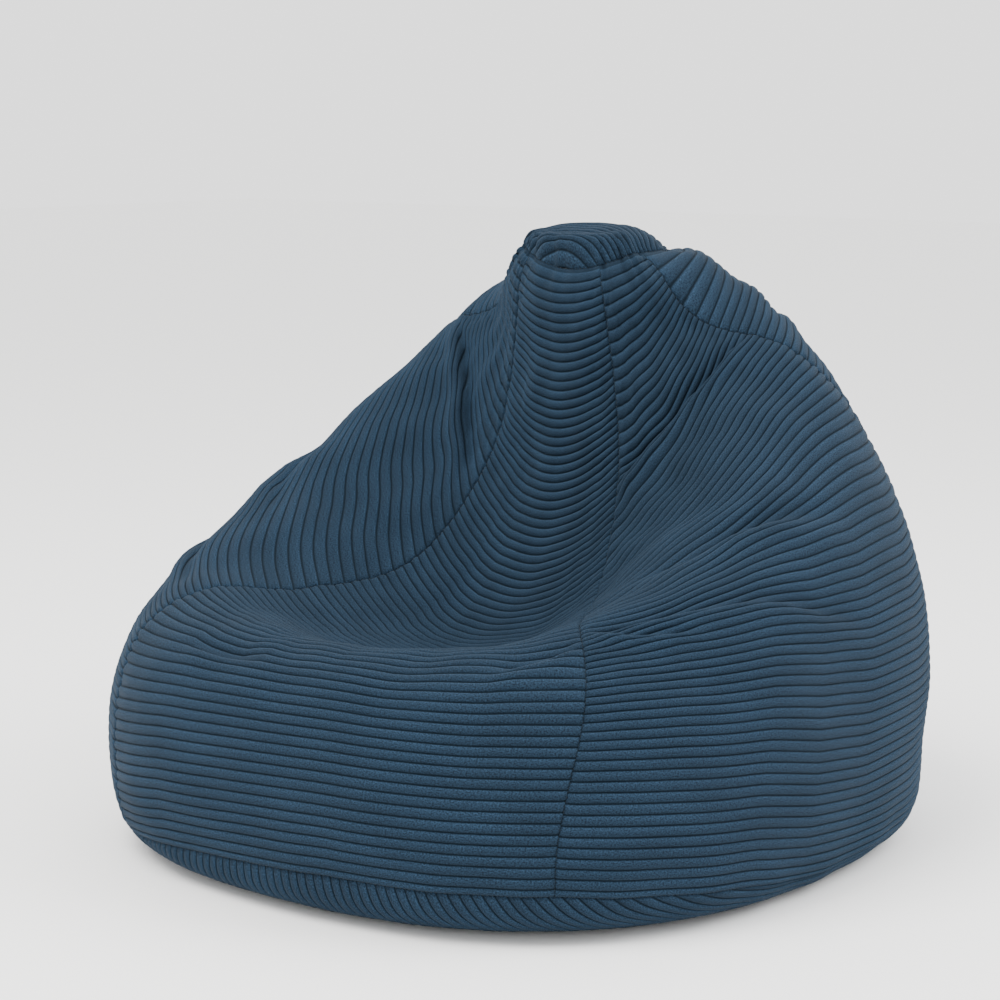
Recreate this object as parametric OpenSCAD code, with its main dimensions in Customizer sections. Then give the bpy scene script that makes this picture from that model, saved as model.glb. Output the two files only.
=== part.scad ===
// Bean bag chair: a sewn corduroy cover of four side panels, a base and a crown cap, over an inner
// liner that holds the bead fill. The sitter faces -Y. The origin is on the floor under the middle.

/* [Overall size] */
// Width of the chair, side to side
chair_w = 760; // [600:5:950]
// Depth of the chair, front to back
chair_d = 780; // [620:5:950]
// Height at the crown
chair_h = 605; // [500:5:750]

/* [Seat] */
// Height of the front lip of the seat
lip_h = 236; // [200:2:270]
// Height of the lowest part of the seat
seat_h = 205; // [170:2:230]
// Height of the ridge on each side of the seat
arm_h = 332; // [300:2:370]

/* [Cover] */
// Thickness of the corduroy with its pile
cover_t = 2.5; // [1.5:0.1:3]
// Mean height of the seam that joins the base to the sides
base_seam_h = 36; // [30:1:45]
// Angle that the front panel spans at its foot, seen from above
front_angle = 85; // [75:1:95]
// How far each front seam bows out at the shoulder
front_seam_bow = 2; // [0:0.5:4]
// How far each front seam swings inward up the backrest
front_seam_swing = 9; // [0:1:12]
// How much nearer the middle the front left seam's foot lies than the front right seam's
front_left_skew = 6.5; // [0:0.5:8]
// Angle that the back panel spans at its foot, seen from above
back_angle = 100; // [90:1:110]
// How far each back seam swings forward by the time it reaches the crown
back_seam_swing = 60; // [0:5:70]
// Half width of the crown cap
crown_r = 80; // [65:1:95]

/* [Liner and fill] */
// How far the liner lies inside the cover's face
liner_in = 7; // [6.8:0.1:9]
// Thickness of the liner cloth
liner_t = 1; // [0.5:0.1:1.2]
// How far the fill lies inside the cover's face
fill_in = 9.5; // [9.5:0.1:12]

/* [Zips] */
// Radius of the arc that the cover's zip follows
zip_r = 545; // [540:1:550]
// Half the angle that the cover's zip spans
zip_half = 26; // [22:0.5:26]
// Length of the straight zip in the liner's base
liner_zip_l = 500; // [350:10:520]

/* [Hidden] */
navy = "#30475a";
liner_white = "#e9e7e0";
zip_navy = "#1f2c38";

// How much each axis differs from the chair that the rings below describe
sx = chair_w / 760;
sy = chair_d / 780;
sz = chair_h / 605;

// Closed rings around the chair, from the underside up over the seat and the back to the crown.
// Each has its height place t, half width, front and back y, the heights at its front, side and back,
// and how square it is: 2 is an ellipse.
RINGS = [
    [-0.16, 312 * sx, -322 * sy, 306 * sy, 0, 0, 0, 2.2],                               // flat underside
    [-0.12, 338 * sx, -346 * sy, 330 * sy, 2, 2, 2, 2.3],
    [-0.06, 364 * sx, -374 * sy, 352 * sy, 14, 14, 14, 2.4],
    [0.00, 376 * sx, -386 * sy, 366 * sy, base_seam_h, base_seam_h, base_seam_h, 2.5],  // base seam
    [0.10, 380 * sx, -390 * sy, 376 * sy, 98 * sz, 98 * sz, 98 * sz, 2.5],              // fullest part
    [0.22, 377 * sx, -374 * sy, 388 * sy, 180 * sz, 180 * sz, 180 * sz, 2.5],
    [0.32, 365 * sx, -348 * sy, 390 * sy, lip_h - 12, 250 * sz, 255 * sz, 2.4],         // shoulder
    [0.43, 330 * sx, -294 * sy, 374 * sy, lip_h, arm_h, 338 * sz, 2.3],                 // lip and arms
    [0.56, 276 * sx, -188 * sy, 326 * sy, seat_h, 408 * sz, 423 * sz, 2.2],             // seat
    [0.70, 205 * sx, -58 * sy, 273 * sy, seat_h + 7, 476 * sz, 493 * sz, 2.1],          // seat's rear
    [0.84, 140 * sx, 34 * sy, 226 * sy, 345 * sz, 530 * sz, 546 * sz, 2],               // backrest
    [1.00, crown_r, 48 * sy, 182 * sy, 580 * sz, 586 * sz, 578 * sz, 2],                // crown seam
    [1.07, crown_r * 0.56, 78 * sy, 153 * sy, 597 * sz, 602 * sz, 597 * sz, 2],
    [1.12, 5, 108 * sy, 123 * sy, 603 * sz, 605 * sz, 605 * sz, 2]                      // crown's middle
];
bottom_t = RINGS[0][0];
top_t = RINGS[len(RINGS) - 1][0];

// Places around the chair run from 0 at the front left seam by 1 at each seam: the front panel is
// 0 to 1, the right one 1 to 2, the back one 2 to 3 and the left one 3 to 4.
back_columns = 14;
front_places = steps(0, 1, 12);
right_places = steps(1, 2, 12);
back_places = steps(2, 3, back_columns);
left_places = steps(3, 4, 12);
round_places = concat(inner(front_places), inner(right_places), inner(back_places), inner(left_places));

// Rows of facets up a side panel, across the base's rolled edge and over the crown
side_rows = 18;
roll_rows = 4;
crown_rows = 3;

// A seam's thread: half its width as a share of a panel and up the chair, and its faces' depths
thread_share = 0.0014;
thread_t = 0.0012;
thread_top = -1.2;
thread_under = -0.45;

// How far the base seam lies above or below its ring, as a height t, at places around the chair
SEAM_LEVEL = [
    [0, -0.026], [0.2, 0.001], [0.4, 0.014], [0.6, 0.022], [1, 0.022], [1.2, 0.006],
    [1.32, -0.004], [1.45, -0.028], [1.6, -0.042], [1.8, -0.04], [2, -0.02], [2.07, 0],
    [2.93, 0], [3.1, -0.004], [3.5, -0.014], [4, -0.026]
];

// The cover's zip lies in a gap in the base seam along the back panel
gap_t = 0.0155;
gap_from = back_places[2];
gap_to = back_places[12];
zip_y = RINGS[3][3] + 2.5 - zip_r;
zip_z = base_seam_h;
coil_w = 2.4;
coil_half_t = 1.2;
web_half = 0.5;
coil_gap = 0.8;
slider_half_w = 5.1;
plate_t = 1.2;
slider_turn = 1.5;
stop_turn = 0.25;
tape_t = 0.8;

// The liner's zip lies in a slot in the middle of its flat base
liner_zip_z = liner_in;
liner_coil_half_t = 0.9;
liner_slot_half = 11;
liner_slider_l = 11;
stop_l = 2;

function lerp(a, b, u) = a + (b - a) * u;
function steps(a, b, n) = [for (i = [0:n]) lerp(a, b, i / n)];
function inner(list) = [for (i = [0:len(list) - 2]) list[i]];
function same(value, list) = [for (i = list) value];

// Smooth curve through column c of the rings at place t
function ring_before(t, i = 0) = i >= len(RINGS) - 2 || t < RINGS[i + 1][0] ? i : ring_before(t, i + 1);
function ring_slope(i, c) =
    let (a = RINGS[max(i - 1, 0)], b = RINGS[min(i + 1, len(RINGS) - 1)])
    (b[c] - a[c]) / (b[0] - a[0]);
function ring_value(t, c) =
    let (i = ring_before(t))
    let (h = RINGS[i + 1][0] - RINGS[i][0])
    let (u = (t - RINGS[i][0]) / h)
    RINGS[i][c] * (1 + 2 * u) * (1 - u) ^ 2
        + ring_slope(i, c) * h * u * (1 - u) ^ 2
        + RINGS[i + 1][c] * u ^ 2 * (3 - 2 * u)
        + ring_slope(i + 1, c) * h * u ^ 2 * (u - 1);
function ring(t) = [for (c = [1:7]) ring_value(t, c)];

// Angle seen from above, at a place around the chair and a height t: 0 is +X and -90 the front
function ease(u) = u <= 0 ? 0 : u >= 1 ? 1 : u * u * (3 - 2 * u);
function seam_angle(seam, t) =
    let (bow = front_seam_bow * exp(-((t - 0.27) / 0.13) ^ 2))
    let (top = ease((t - 0.36) / 0.4))
    let (front = front_angle / 2 + bow - front_seam_swing * top)
    let (front_left = front - front_left_skew * (1 - top))
    let (back_right = 90 - back_angle / 2 - back_seam_swing * ease((t - 0.4) / 0.6))
    [-90 - front_left, -90 + front, back_right, 180 - back_right, 270 - front_left][seam];
function angle_at(place, t) =
    place >= 4 ? 360 + angle_at(place - 4, t)
    : let (panel = floor(place))
      lerp(seam_angle(panel, t), seam_angle(panel + 1, t), place - panel);

// Point of the cover's face on ring r at an angle
function on_ring(r, angle) =
    let (reach = (abs(cos(angle)) ^ r[6] + abs(sin(angle)) ^ r[6]) ^ (-1 / r[6]))
    let (across = cos(angle) * reach, along = sin(angle) * reach)
    [
        r[0] * across,
        (r[1] + r[2]) / 2 + (r[2] - r[1]) / 2 * along,
        r[4] + (r[5] - r[3]) / 2 * along + ((r[5] + r[3]) / 2 - r[4]) * along ^ 2
    ];

// Outward direction of the cover's face, straight down on the underside and up on the crown's top
function outward(angle, t) =
    t <= bottom_t ? [0, 0, -1]
    : t >= top_t ? [0, 0, 1]
    : let (low = ring(t - 0.002), high = ring(t + 0.002), mid = ring(t))
      let (n = cross(on_ring(mid, angle + 0.2) - on_ring(mid, angle - 0.2),
                     on_ring(high, angle) - on_ring(low, angle)))
      n / norm(n);
// Point a depth inside the cover's face
function inside(place, t, depth) =
    let (angle = angle_at(place, t))
    on_ring(ring(t), angle) - depth * outward(angle, t);

// Grid of points, row by row, from heights lows to highs. depth is one number or one for each row,
// and limits cuts off the first and last rows
function grid(places, lows, highs, rows, depth, limits = [-1, 2]) = [
    for (r = [0:rows], i = [0:len(places) - 1])
        let (t = max(limits[0], min(limits[1], lerp(lows[i], highs[i], r / rows))))
        inside(places[i], t, is_list(depth) ? depth[r] : depth)
];
function grid_faces(first, columns, rows, closed, facing_out) = [
    for (r = [0:rows - 1], i = [0:columns - (closed ? 1 : 2)])
        let (a = first + r * columns + i, b = first + r * columns + (i + 1) % columns)
        let (c = b + columns, d = a + columns)
        each facing_out ? [[a, d, c], [a, c, b]] : [[a, b, c], [a, c, d]]
];
// The wall along one row between the outer grid and the inner one, which starts at point skip
function row_wall(first, columns, skip, closed, low) = [
    for (i = [0:columns - (closed ? 1 : 2)])
        let (a = first + i, b = first + (i + 1) % columns)
        each low ? [[a, b, b + skip], [a, b + skip, a + skip]]
                 : [[a, a + skip, b + skip], [a, b + skip, b]]
];
function end_wall(column, columns, rows, skip, start) = [
    for (r = [0:rows - 1])
        let (a = column + r * columns, d = column + (r + 1) * columns)
        each start ? [[d, a, d + skip], [a, a + skip, d + skip]]
                   : [[a, d, d + skip], [a, d + skip, a + skip]]
];
function fan(first, columns, middle, facing_down) = [
    for (i = [0:columns - 1])
        let (a = first + i, b = first + (i + 1) % columns)
        facing_down ? [a, b, middle] : [b, a, middle]
];

// A piece of cloth between two depths, with four edges
module cloth(places, lows, highs, rows, outer, inner, limits = [-1, 2]) {
    columns = len(places);
    skip = columns * (rows + 1);
    polyhedron(
        points = concat(grid(places, lows, highs, rows, outer, limits),
                        grid(places, lows, highs, rows, inner, limits)),
        faces = concat(
            grid_faces(0, columns, rows, false, true),
            grid_faces(skip, columns, rows, false, false),
            row_wall(0, columns, skip, false, true),
            row_wall(columns * rows, columns, skip, false, false),
            end_wall(0, columns, rows, skip, true),
            end_wall(columns - 1, columns, rows, skip, false)
        )
    );
}

// A round band of cloth between two depths
module band(lows, highs, rows, outer, inner) {
    columns = len(round_places);
    skip = columns * (rows + 1);
    polyhedron(
        points = concat(grid(round_places, lows, highs, rows, outer),
                        grid(round_places, lows, highs, rows, inner)),
        faces = concat(
            grid_faces(0, columns, rows, true, true),
            grid_faces(skip, columns, rows, true, false),
            row_wall(0, columns, skip, true, true),
            row_wall(columns * rows, columns, skip, true, false)
        )
    );
}

// The base's cloth: a flat round with a rolled edge that ends at heights highs
module base_cloth(highs, outer, inner) {
    columns = len(round_places);
    skip = columns * (roll_rows + 1);
    lows = same(bottom_t, round_places);
    polyhedron(
        points = concat(grid(round_places, lows, highs, roll_rows, outer),
                        grid(round_places, lows, highs, roll_rows, inner),
                        [[0, 0, outer], [0, 0, inner]]),
        faces = concat(
            grid_faces(0, columns, roll_rows, true, true),
            grid_faces(skip, columns, roll_rows, true, false),
            fan(0, columns, 2 * skip, true),
            fan(skip, columns, 2 * skip + 1, false),
            row_wall(columns * roll_rows, columns, skip, true, false)
        )
    );
}

// The crown's cloth: a shallow dome from the crown seam up
module crown_cloth(outer, inner) {
    columns = len(round_places);
    skip = columns * (crown_rows + 1);
    lows = same(1, round_places);
    highs = same(top_t, round_places);
    middle = on_ring(ring(top_t), 0);
    polyhedron(
        points = concat(grid(round_places, lows, highs, crown_rows, outer),
                        grid(round_places, lows, highs, crown_rows, inner),
                        [[0, middle[1], middle[2] - outer], [0, middle[1], middle[2] - inner]]),
        faces = concat(
            grid_faces(0, columns, crown_rows, true, true),
            grid_faces(skip, columns, crown_rows, true, false),
            fan(columns * crown_rows, columns, 2 * skip, false),
            fan(skip + columns * crown_rows, columns, 2 * skip + 1, true),
            row_wall(0, columns, skip, true, true)
        )
    );
}

// Cover ------------------------------------------------------------------------------------------

// The base seam, which opens along the zip
function opens(place) = place > gap_from - 0.01 && place < gap_to + 0.01 ? gap_t : 0;
function seam_level(place) = lookup(place > 4 ? place - 4 : place, SEAM_LEVEL);
function side_lows(places) = [for (p = places) seam_level(p) + opens(p)];
function base_highs() = [for (p = round_places) seam_level(p) - opens(p)];

module side_panel(places) {
    color(navy) cloth(places, side_lows(places), same(1, places), side_rows, 0, cover_t);
}
module front_panel() side_panel(front_places);
module right_panel() side_panel(right_places);
module back_panel() side_panel(back_places);
module left_panel() side_panel(left_places);
module base_panel() color(navy) base_cloth(base_highs(), 0, cover_t);
module crown_cap() color(navy) crown_cloth(0, cover_t);

// Sewing thread along a side seam, just clear of the cloth, in the same rows of facets as the panels
module side_seam_thread(seam) {
    places = [seam - thread_share, seam + thread_share];
    level = seam_level(seam);
    color(navy)
        cloth(places, same(level, places), same(1, places), side_rows, thread_top, thread_under,
              [level + 0.004, 0.99]);
}
module front_right_seam_thread() side_seam_thread(1);
module back_right_seam_thread() side_seam_thread(2);
module back_left_seam_thread() side_seam_thread(3);
module front_left_seam_thread() side_seam_thread(4);
module crown_seam_thread() {
    lows = same(1 - 4 * thread_t, round_places);
    highs = same(1 + 4 * thread_t, round_places);
    color(navy) band(lows, highs, 1, thread_top, thread_under);
}
// The base seam's thread runs from one end of the zip round to the other
module base_seam_thread() {
    places = concat([for (p = round_places) if (p > gap_to + 0.01) p],
                    [for (p = round_places) if (p < gap_from - 0.01) p + 4]);
    levels = [for (p = places) seam_level(p)];
    lows = [for (level = levels) level - thread_t];
    highs = [for (level = levels) level + thread_t];
    color(navy) cloth(places, lows, highs, 1, thread_top, thread_under);
}

// Cover's zip: everything on it turns about one upright axis, so the slider runs true --------------

zip_start = 90 - zip_half;
zip_turn = 2 * zip_half;

module at_zip(from, turn) {
    translate([0, zip_y, zip_z])
        rotate([0, 0, from])
            rotate_extrude(angle = turn, $fn = 720)
                children();
}
module zip_rect(r0, r1, z0, z1) translate([zip_r + r0, z0]) square([r1 - r0, z1 - z0]);

module cover_zip_coil(side) {
    low = side > 0 ? coil_gap : -coil_gap - coil_w;
    color(zip_navy) at_zip(zip_start, zip_turn) zip_rect(-coil_half_t, coil_half_t, low, low + coil_w);
}
module cover_zip_upper_coil() cover_zip_coil(1);
module cover_zip_lower_coil() cover_zip_coil(-1);

// One woven tape, from its coil's edge to behind the cover's cloth
module cover_zip_tape(side) {
    places = [for (i = [2:12]) back_places[i]];
    columns = len(places);
    edge_z = zip_z + side * (coil_gap + coil_w);
    mouth_z = zip_z + side * (slider_half_w + 0.3);
    bearing = [for (place = places) let (p = inside(place, 0, 0)) atan2(p[1] - zip_y, p[0])];
    function on_arc(i, r, z) =
        [(zip_r + r) * cos(bearing[i]), zip_y + (zip_r + r) * sin(bearing[i]), z];
    function face(r, depth) = [
        for (row = side > 0 ? [0:3] : [3:-1:0], i = [0:columns - 1])
            row == 0 ? on_arc(i, r, edge_z)
            : row == 1 ? on_arc(i, r, mouth_z)
            : row == 2 ? inside(places[i], side * gap_t, depth)
            : inside(places[i], side * (gap_t + 0.02), depth + 1.4)
    ];
    skip = columns * 4;
    color(zip_navy)
        polyhedron(
            points = concat(face(tape_t / 2, cover_t + 0.3), face(-tape_t / 2, cover_t + 0.3 + tape_t)),
            faces = concat(
                grid_faces(0, columns, 3, false, true),
                grid_faces(skip, columns, 3, false, false),
                row_wall(0, columns, skip, false, true),
                row_wall(columns * 3, columns, skip, false, false),
                end_wall(0, columns, 3, skip, true),
                end_wall(columns - 1, columns, 3, skip, false)
            )
        );
}
module cover_zip_upper_tape() cover_zip_tape(1);
module cover_zip_lower_tape() cover_zip_tape(-1);

// A child-safe slider, which has no pull tab: two plates on a web that runs between the coils
slider_start = zip_start + 0.1;
module cover_zip_slider() {
    near = coil_half_t + 0.3;
    far = near + plate_t;
    color("#2a2d31") {
        at_zip(slider_start, slider_turn) {
            zip_rect(near, far, -slider_half_w, slider_half_w);
            zip_rect(-far, -near, -slider_half_w, slider_half_w);
            zip_rect(-far, far, -web_half, web_half);
        }
        at_zip(slider_start + slider_turn * 0.3, slider_turn * 0.4) zip_rect(near, far + 0.9, -1.2, 1.2);
    }
}

module cover_zip_stop(from) {
    half = coil_gap + coil_w;
    color("#8d9297") at_zip(from, stop_turn) zip_rect(-coil_half_t - 0.2, coil_half_t + 0.2, -half, half);
}
module cover_zip_start_stop() cover_zip_stop(zip_start - stop_turn);
module cover_zip_end_stop() cover_zip_stop(zip_start + zip_turn);

// Cloth pocket that the closed slider hides in
module cover_zip_garage() {
    places = steps(gap_from - 0.02, gap_from + 0.05, 2);
    lift = [-0.3, -5.6, -6.4, -5.6, -0.3];
    color(navy)
        cloth(places, same(-0.026, places), same(0.026, places), 4, [for (x = lift) x - 1], lift);
}

// Blank label sewn into the base seam beside the zip
module care_label() {
    places = steps(gap_to + 0.05, gap_to + 0.1, 2);
    color("white") cloth(places, same(-0.066, places), same(-0.004, places), 2, -1.1, -0.6);
}

// Liner ------------------------------------------------------------------------------------------

module liner_side(places) {
    color(liner_white)
        cloth(places, same(0, places), same(1, places), side_rows, liner_in, liner_in + liner_t);
}
module liner_front_panel() liner_side(front_places);
module liner_right_panel() liner_side(right_places);
module liner_back_panel() liner_side(back_places);
module liner_left_panel() liner_side(left_places);
module liner_crown() color(liner_white) crown_cloth(liner_in, liner_in + liner_t);
module liner_base() {
    color(liner_white)
        difference() {
            base_cloth(same(0, round_places), liner_in, liner_in + liner_t);
            translate([-liner_zip_l / 2, -liner_slot_half, 0])
                cube([liner_zip_l, 2 * liner_slot_half, 2 * fill_in]);
        }
}

module liner_box(x0, x1, y0, y1, half_t) {
    translate([x0, y0, liner_zip_z - half_t])
        cube([x1 - x0, y1 - y0, 2 * half_t]);
}
// Each tape runs from its coil to the edge of the slot
module liner_zip_tape(side) {
    near = coil_gap + coil_w;
    color(liner_white)
        liner_box(-liner_zip_l / 2, liner_zip_l / 2, side > 0 ? near : -liner_slot_half,
                  side > 0 ? liner_slot_half : -near, tape_t / 2);
}
module liner_zip_front_tape() liner_zip_tape(-1);
module liner_zip_back_tape() liner_zip_tape(1);
module liner_zip_coil(side) {
    low = side > 0 ? coil_gap : -coil_gap - coil_w;
    half_l = liner_zip_l / 2 - stop_l;
    color("white") liner_box(-half_l, half_l, low, low + coil_w, liner_coil_half_t);
}
module liner_zip_front_coil() liner_zip_coil(-1);
module liner_zip_back_coil() liner_zip_coil(1);

module liner_zip_slider() {
    x0 = -liner_zip_l / 2 + stop_l + 0.5;
    near = liner_coil_half_t + 0.25;
    far = near + 0.8;
    color("silver") {
        for (low = [-far, near])
            translate([x0, -slider_half_w + 0.5, liner_zip_z + low])
                cube([liner_slider_l, 2 * slider_half_w - 1, far - near]);
        liner_box(x0, x0 + liner_slider_l, -web_half, web_half, far);
    }
}
module liner_zip_stop(x0) {
    half = coil_gap + coil_w;
    color("silver") liner_box(x0, x0 + stop_l, -half, half, liner_coil_half_t + 0.1);
}
module liner_zip_start_stop() liner_zip_stop(-liner_zip_l / 2);
module liner_zip_end_stop() liner_zip_stop(liner_zip_l / 2 - stop_l);

// Fill -------------------------------------------------------------------------------------------

// All the beads as one closed solid
module bead_fill() {
    columns = len(round_places);
    rows = roll_rows + side_rows + crown_rows;
    heights = concat(inner(steps(bottom_t, 0, roll_rows)), inner(steps(0, 1, side_rows)),
                     steps(1, top_t, crown_rows));
    middle = on_ring(ring(top_t), 0);
    color("#f4f3ee")
        polyhedron(
            points = concat(
                [for (t = heights, p = round_places) inside(p, t, fill_in)],
                [[0, 0, fill_in], [0, middle[1], middle[2] - fill_in]]
            ),
            faces = concat(
                grid_faces(0, columns, rows, true, true),
                fan(0, columns, columns * (rows + 1), true),
                fan(columns * rows, columns, columns * (rows + 1) + 1, false)
            )
        );
}

front_panel();
right_panel();
back_panel();
left_panel();
base_panel();
crown_cap();
front_right_seam_thread();
back_right_seam_thread();
back_left_seam_thread();
front_left_seam_thread();
crown_seam_thread();
base_seam_thread();
cover_zip_upper_tape();
cover_zip_lower_tape();
cover_zip_upper_coil();
cover_zip_lower_coil();
cover_zip_slider();
cover_zip_start_stop();
cover_zip_end_stop();
cover_zip_garage();
care_label();
liner_front_panel();
liner_right_panel();
liner_back_panel();
liner_left_panel();
liner_base();
liner_crown();
liner_zip_front_tape();
liner_zip_back_tape();
liner_zip_front_coil();
liner_zip_back_coil();
liner_zip_slider();
liner_zip_start_stop();
liner_zip_end_stop();
bead_fill();
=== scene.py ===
import bmesh
import bpy
import numpy as np
from math import atan2, cos, pi, radians, sin
from mathutils import Matrix, Vector


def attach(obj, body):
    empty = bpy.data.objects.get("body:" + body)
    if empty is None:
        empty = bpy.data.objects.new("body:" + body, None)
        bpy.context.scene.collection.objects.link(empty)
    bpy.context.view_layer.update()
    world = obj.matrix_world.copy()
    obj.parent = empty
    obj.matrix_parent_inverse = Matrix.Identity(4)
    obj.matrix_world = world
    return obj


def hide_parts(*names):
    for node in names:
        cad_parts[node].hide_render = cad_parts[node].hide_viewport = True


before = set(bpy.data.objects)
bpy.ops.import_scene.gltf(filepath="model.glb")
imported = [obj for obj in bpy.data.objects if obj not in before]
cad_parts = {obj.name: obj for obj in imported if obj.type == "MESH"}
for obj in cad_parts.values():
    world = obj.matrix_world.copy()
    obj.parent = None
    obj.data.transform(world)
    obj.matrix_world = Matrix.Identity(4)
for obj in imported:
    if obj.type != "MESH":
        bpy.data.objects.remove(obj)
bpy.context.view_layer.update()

# ------------------------------------------------------------------------------------------------
# Room
# A pale seamless floor, three large soft lamps and a camera in front and to the right of the chair.

MM = 0.001
camera_azimuth = 38.2
camera_elevation = 9.5
camera_distance = 2.6
view_width = 1.0
aim = Vector((0, -0.012, 0.300))


def away(azimuth, elevation):
    """Unit direction from the chair, 0 degrees being the front and 90 its left hand side."""
    a, e = radians(azimuth), radians(elevation)
    return Vector((sin(a) * cos(e), -cos(a) * cos(e), sin(e)))


def facing(place, target):
    turn = (Vector(target) - Vector(place)).to_track_quat("-Z", "Y")
    return Matrix.Translation(place) @ turn.to_matrix().to_4x4()


def add_to_scene(name, data):
    thing = bpy.data.objects.new(name, data)
    bpy.context.scene.collection.objects.link(thing)
    return thing


camera = add_to_scene("camera", bpy.data.cameras.new("camera"))
camera.matrix_world = facing(aim + away(camera_azimuth, camera_elevation) * camera_distance, aim)
camera.data.sensor_width = 36
camera.data.lens = 36 * camera_distance / view_width
camera.data.shift_x = -0.018
camera.data.shift_y = 0.034
bpy.context.scene.camera = camera


def lamp(name, azimuth, elevation, distance, size, power, colour):
    light = bpy.data.lights.new(name, "AREA")
    light.shape = "DISK"
    light.size = size
    light.energy = power
    light.color = colour
    add_to_scene(name, light).matrix_world = facing(aim + away(azimuth, elevation) * distance, aim)


lamp("key", -15, 58, 3.2, 2.2, 135, (1.0, 0.98, 0.96))
lamp("side", 118, 38, 3.0, 2.0, 75, (0.97, 0.98, 1.0))
lamp("front", 40, 12, 4.5, 3.0, 30, (1.0, 1.0, 1.0))


def linear(hex_colour):
    """An sRGB hex colour as the linear values that a shader takes."""
    parts = [int(hex_colour[i:i + 2], 16) / 255 for i in (1, 3, 5)]
    return tuple(p / 12.92 if p <= 0.04045 else ((p + 0.055) / 1.055) ** 2.4 for p in parts) + (1,)


def node(tree, kind, settings=None, **inputs):
    """Adds one shader node. An input is a value or another node's output socket."""
    made = tree.nodes.new(kind)
    for key, value in (settings or {}).items():
        setattr(made, key, value)
    for key, value in inputs.items():
        socket = made.inputs[int(key[1:]) if key[1:].isdigit() else key.replace("_", " ")]
        if isinstance(value, bpy.types.NodeSocket):
            tree.links.new(value, socket)
        else:
            socket.default_value = value
    return made


def new_material(name):
    made = bpy.data.materials.new(name)
    made.use_nodes = True
    made.node_tree.nodes.clear()
    return made, made.node_tree


def finish_material(tree, shader):
    node(tree, "ShaderNodeOutputMaterial", Surface=shader.outputs["BSDF"])


world = bpy.data.worlds.new("studio")
world.use_nodes = True
world.node_tree.nodes["Background"].inputs["Color"].default_value = linear("#ffffff")
world.node_tree.nodes["Background"].inputs["Strength"].default_value = 2.0
bpy.context.scene.world = world

floor_material, tree = new_material("painted_board_floor")
finish_material(tree, node(tree, "ShaderNodeBsdfPrincipled", Base_Color=linear("#fbfbfa"), Roughness=0.8))
shape = bmesh.new()
bmesh.ops.create_grid(shape, x_segments=1, y_segments=1, size=12)
floor_mesh = bpy.data.meshes.new("floor")
shape.to_mesh(floor_mesh)
shape.free()
floor_mesh.materials.append(floor_material)
add_to_scene("floor", floor_mesh)

# ------------------------------------------------------------------------------------------------
# Body shape
# The filled cover is a stack of closed rings, from the flat underside over the seat and the back to
# the crown. Every cloth piece below takes its place from it. Sizes are in millimetres.

RINGS = np.array([
    # height t, half width, front y, back y, front z, side z, back z, squareness
    (-0.16, 312, -322, 306, 0, 0, 0, 2.2),        # flat underside
    (-0.12, 338, -346, 330, 2, 2, 2, 2.3),
    (-0.06, 364, -374, 352, 14, 14, 14, 2.4),
    (0.00, 376, -386, 366, 36, 36, 36, 2.5),      # base seam
    (0.10, 380, -390, 376, 98, 98, 98, 2.5),      # fullest part
    (0.22, 377, -374, 388, 180, 180, 180, 2.5),
    (0.32, 365, -348, 390, 224, 250, 255, 2.4),   # shoulder
    (0.43, 330, -294, 374, 236, 332, 338, 2.3),   # front lip and side ridges
    (0.56, 276, -188, 326, 205, 408, 423, 2.2),   # seat
    (0.70, 205, -58, 273, 212, 476, 493, 2.1),    # seat's rear
    (0.84, 140, 34, 226, 345, 530, 546, 2.0),     # backrest
    (1.00, 80, 48, 182, 580, 586, 578, 2.0),      # crown seam
    (1.07, 44.8, 78, 153, 597, 602, 597, 2.0),
    (1.12, 5, 108, 123, 603, 605, 605, 2.0),      # crown's middle
])
bottom_t, top_t = RINGS[0, 0], RINGS[-1, 0]
front_half_angle = 42.5
back_half_angle = 50
back_seam_swing = 60
front_seam_bow = 2
front_seam_swing = 9
front_left_skew = 6.5
crown_dip = 0.016
crown_dip_angle = radians(-70)

# How far the base seam lies above or below its ring, as a height t, at places around the chair
seam_places = [0, 0.2, 0.4, 0.6, 1, 1.2, 1.32, 1.45, 1.6, 1.8, 2, 2.11, 2.93, 3.1, 3.5, 4]
seam_levels = [-0.026, 0.001, 0.014, 0.022, 0.022, 0.006, -0.004, -0.028,
               -0.042, -0.04, -0.02, 0, 0, -0.004, -0.014, -0.026]


def ring(t):
    """The rings' values at heights t, on smooth curves through the rings."""
    at, values = RINGS[:, 0], RINGS[:, 1:]
    low = np.r_[0, np.arange(len(at) - 1)]
    high = np.r_[np.arange(1, len(at)), len(at) - 1]
    slopes = (values[high] - values[low]) / (at[high] - at[low])[:, None]
    i = np.clip(np.searchsorted(at, t, side="right") - 1, 0, len(at) - 2)
    step = (at[i + 1] - at[i])[..., None]
    u = (t - at[i])[..., None] / step
    return (values[i] * (1 + 2 * u) * (1 - u) ** 2 + slopes[i] * step * u * (1 - u) ** 2
            + values[i + 1] * u ** 2 * (3 - 2 * u) + slopes[i + 1] * step * u ** 2 * (u - 1))


def ease(u):
    u = np.clip(u, 0, 1)
    return u * u * (3 - 2 * u)


def angle_at(place, t):
    """Angle seen from above. Places run from 0 at the front left seam by 1 at each seam."""
    back_right = 90 - back_half_angle - back_seam_swing * ease((t - 0.4) / 0.6)
    top = ease((t - 0.36) / 0.4)
    front = front_half_angle + front_seam_bow * np.exp(-((t - 0.27) / 0.13) ** 2) - front_seam_swing * top
    left = front - front_left_skew * (1 - top)
    seams = np.stack([-90 - left, -90 + front, back_right, 180 - back_right, 270 - left], -1)
    panel = np.clip(np.floor(place).astype(int), 0, 3)
    a = np.take_along_axis(seams, panel[..., None], -1)[..., 0]
    b = np.take_along_axis(seams, panel[..., None] + 1, -1)[..., 0]
    return np.radians(a + (b - a) * (place - panel))


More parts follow.
